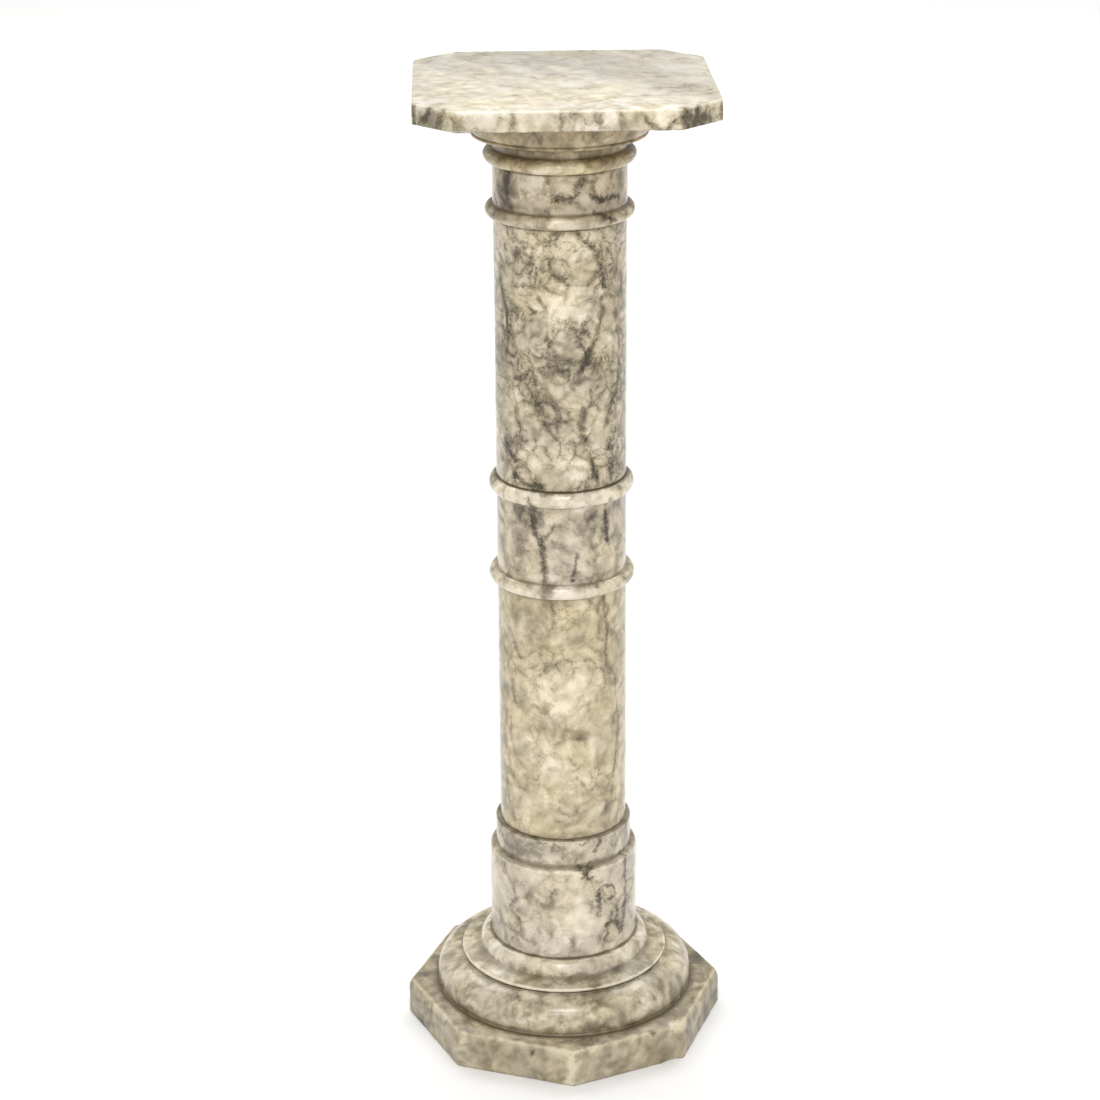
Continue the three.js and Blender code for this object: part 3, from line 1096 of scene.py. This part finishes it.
# %% Finish of the lower shaft
right_vein = [
    (41, 490), (44, 471), (48, 448), (43, 430), (50, 413), (60, 401), (63, 377), (66, 349), (55, 274),
]
lower_marble = marble(
    "Marble of the lower shaft",
    grain=(19, 0.36, 0.55, 0.7, 0.3, 0.5),
    tones=("#efe5cb", "#cdbfa0", "#9f9377", "#5f543e"),
    radius=shaft_radius,
    veins=[
        (right_vein, 2.4, 0.45),
        ([(-57, 442), (-49, 427)], 3.0, 0.4), ([(-61, 397), (-58, 376), (-54, 372)], 3.0, 0.4),
        ([(-66, 357), (-64, 335), (-58, 321)], 2.4, 0.4),
        ([(-73, 292), (-72, 270), (-59, 241)], 3.4, 0.35),
        ([(-15, 494), (-12, 481), (-11, 470)], 2.6, 0.4),
        ([(-5, 435), (5, 427), (18, 428)], 2.0, 0.3),
        ([(1, 355), (13, 352), (17, 342), (24, 330)], 3.4, 0.4),
    ],
    patches=[
        ((0, 470), (90, 34), 0.1), ((-2, 390), (42, 34), -0.14), ((-8, 310), (36, 40), -0.12),
        ((-22, 398), (24, 20), -0.2), ((-7, 372), (15, 14), -0.25), ((13, 401), (11, 10), -0.15),
        ((38, 402), (14, 14), -0.12), ((-24, 330), (20, 22), -0.22), ((-12, 276), (13, 10), -0.25),
        ((4, 290), (10, 9), -0.2), ((13, 346), (16, 9), 0.25), ((-82, 360), (16, 110), 0.25),
    ],
    seams=[(level_of("lower_shaft"), 2.0, 0.75), (level_of("lower_shaft", True), 2.0, 0.85)],
    offset=(15, 250, 160),
)

# %% [markdown]
# The socket drum is the whitest stone. A net of thin grey veins rings its cells on the right, and a
# crackle of grey runs across its collar. Dirt has settled where the collar meets the drum.

# %% Finish of the socket drum
socket_bottom = level_of("socket_drum")
socket_marble = marble(
    "Marble of the socket drum",
    grain=(21, 0.35, 0.55, 0.55, 0.45, 0.5),
    tones=("#efe7d4", "#ccc1ab", "#968d7a", "#544c3d"),
    radius=drum_radius,
    # The pale band along the rounded upper arris is a painted highlight.
    arris_wear_and_highlights=[(socket_bottom + drum_height - 3, 2.6, 0.25)],
    veins=[
        ([(-66, 148), (-51, 162), (-39, 168), (-30, 161), (-22, 157), (-14, 164)], 3.0, 0.45),
        ([(-9, 178), (-17, 168)], 2.4, 0.3),
        ([(36, 172), (42, 177), (52, 174), (56, 160), (49, 157), (37, 163)], 2.2, 0.7),
        ([(36, 172), (35, 155), (33, 143)], 2.4, 0.7),
        ([(44, 130), (52, 130), (59, 128), (64, 114)], 2.6, 0.75),
        ([(60, 147), (59, 132), (66, 116)], 2.2, 0.7), ([(44, 130), (45, 118), (41, 109)], 2.2, 0.6),
        ([(14, 202), (23, 197), (17, 191)], 2.4, 0.8), ([(27, 202), (20, 195), (27, 188)], 2.4, 0.8),
        ([(72, 201), (73, 148), (67, 115)], 2.4, 0.7), ([(40, 226), (36, 219), (32, 215)], 2.4, 0.7),
        ([(-44, 232), (-30, 226), (-21, 229), (-8, 222)], 1.8, 0.5),
        ([(8, 228), (18, 222), (30, 227)], 1.8, 0.5), ([(-14, 226), (-17, 218)], 2.6, 0.45),
    ],
    patches=[
        ((0, 218), (400, 14), 0.2), ((-60, 142), (14, 24), 0.15), ((-12, 116), (20, 16), -0.3),
        ((10, 146), (24, 30), -0.3), ((0, 186), (34, 10), -0.15), ((-45, 210), (18, 8), 0.25),
        ((50, 128), (16, 20), 0.12),
    ],
    seams=[
        (socket_bottom, 3.4, 0.9),
        (socket_bottom + drum_height + 1.5, 7.0, 0.6),
        (socket_bottom + collar_top, 1.0, 0.6),
    ],
    offset=(120, 90, 330),
)

# %% [markdown]
# The base is less polished than the stones above it. It is darker round its foot and at the foot of its
# bead, the groove under its listel is darkened as painted shade, and the edge of its listel and its bead
# are painted pale as highlights.

# %% Finish of the base moulding
base_bottom = level_of("base_moulding")
base_marble = marble(
    "Marble of the base moulding",
    grain=(24, 0.42, 0.75, 0.4, 0.6, 0.5),
    tones=("#e9e2ce", "#c1b69e", "#8f866f", "#4c4433"),
    roughness=0.22,
    radius=torus_centre[0] + torus_reach,
    # The last patch paints the bead pale all round as a highlight.
    patches=[((-4, 60), (40, 12), -0.15), ((24, 52), (20, 9), 0.3), ((0, 93), (400, 9), -0.32)],
    # The pale band at the listel's edge is a painted highlight.
    arris_wear_and_highlights=[(listel_radius, 2.2, 0.6, "From axis")],
    seams=[
        (base_bottom, 9.0, 0.7),
        # The band under the listel is painted shade.
        (base_bottom + torus_top + 0.5, 2.0, 0.85),
        (base_bottom + bead_bottom - 0.5, 2.4, 0.5),
        (drum_radius + 1, 3.0, 0.8, "From axis"),
    ],
    offset=(60, 10, 240),
)

# %% [markdown]
# The plinth is the most worn and the dirtiest. Its ground is tan and olive, with grey patches, and it is
# darkest in the ring where the torus stands on it. Its front arris and shoulder carry painted highlights,
# and its far left and right are darkened as painted shade.

# %% Finish of the plinth
plinth_marble = marble(
    "Marble of the plinth",
    grain=(44, 0.47, 0.62, 0.1, 0.3, 0.5),
    tones=("#dad0b5", "#aca086", "#807761", "#494130"),
    patches=[
        # The second patch, on the front arris, is a painted highlight.
        ((10, -146, 39), (22, 12, 16), 0.35), ((1, -165, 18), (10, 6, 40), -0.24),
        ((-116, -117, 33), (6, 6, 6), 0.45), ((-108, -122, 33), (7, 7, 7), -0.4),
        ((110, -113, 35), (10, 10, 9), -0.42), ((87, -130, 37), (8, 7, 4), 0.6),
        ((-39, -150, 31), (4, 4, 4), 0.5), ((-78, -133, 37), (4, 4, 4), 0.35),
        # The last two patches are painted shade on the far left and right sides.
        ((-160, 0, 20), (36, 95, 60), 0.22), ((160, 0, 20), (36, 95, 60), 0.3),
    ],
    # This pale vein on the front arris is a painted highlight.
    veins=[([(0, -166, 2), (0, -164, 36)], 2.6, -0.45)],
    # The pale band along the shoulder is a painted highlight.
    arris_wear_and_highlights=[(150, 4.0, 0.42, "Across flats")],
    seams=[(foot_listel[0] + 0.5, 9.0, 0.8, "From axis"), (0, 3.0, 0.4)],
    roughness=0.34,
    offset=(170, 220, 30),
)

# %% [markdown]
# Each piece gets its finish. The third name in each row, the record's material it belongs to, is not used.

# %% Dress the stones
dressing = [
    (plinth, plinth_marble, "marble_tan"),
    (base_moulding, base_marble, "marble_grey"),
    (socket_drum, socket_marble, "marble_pale"),
    (lower_shaft, lower_marble, "marble_warm"),
    (middle_drum, middle_marble, "marble_pale"),
    (upper_shaft, upper_marble, "marble_grey"),
    (necking_drum, necking_marble, "marble_pale"),
    (capital, capital_marble, "marble_tan"),
    (slab, slab_marble, "marble_warm"),
]
for piece, finish, slot in dressing:
    piece.data.materials.append(finish)
    print(piece.name, "in", finish.name)
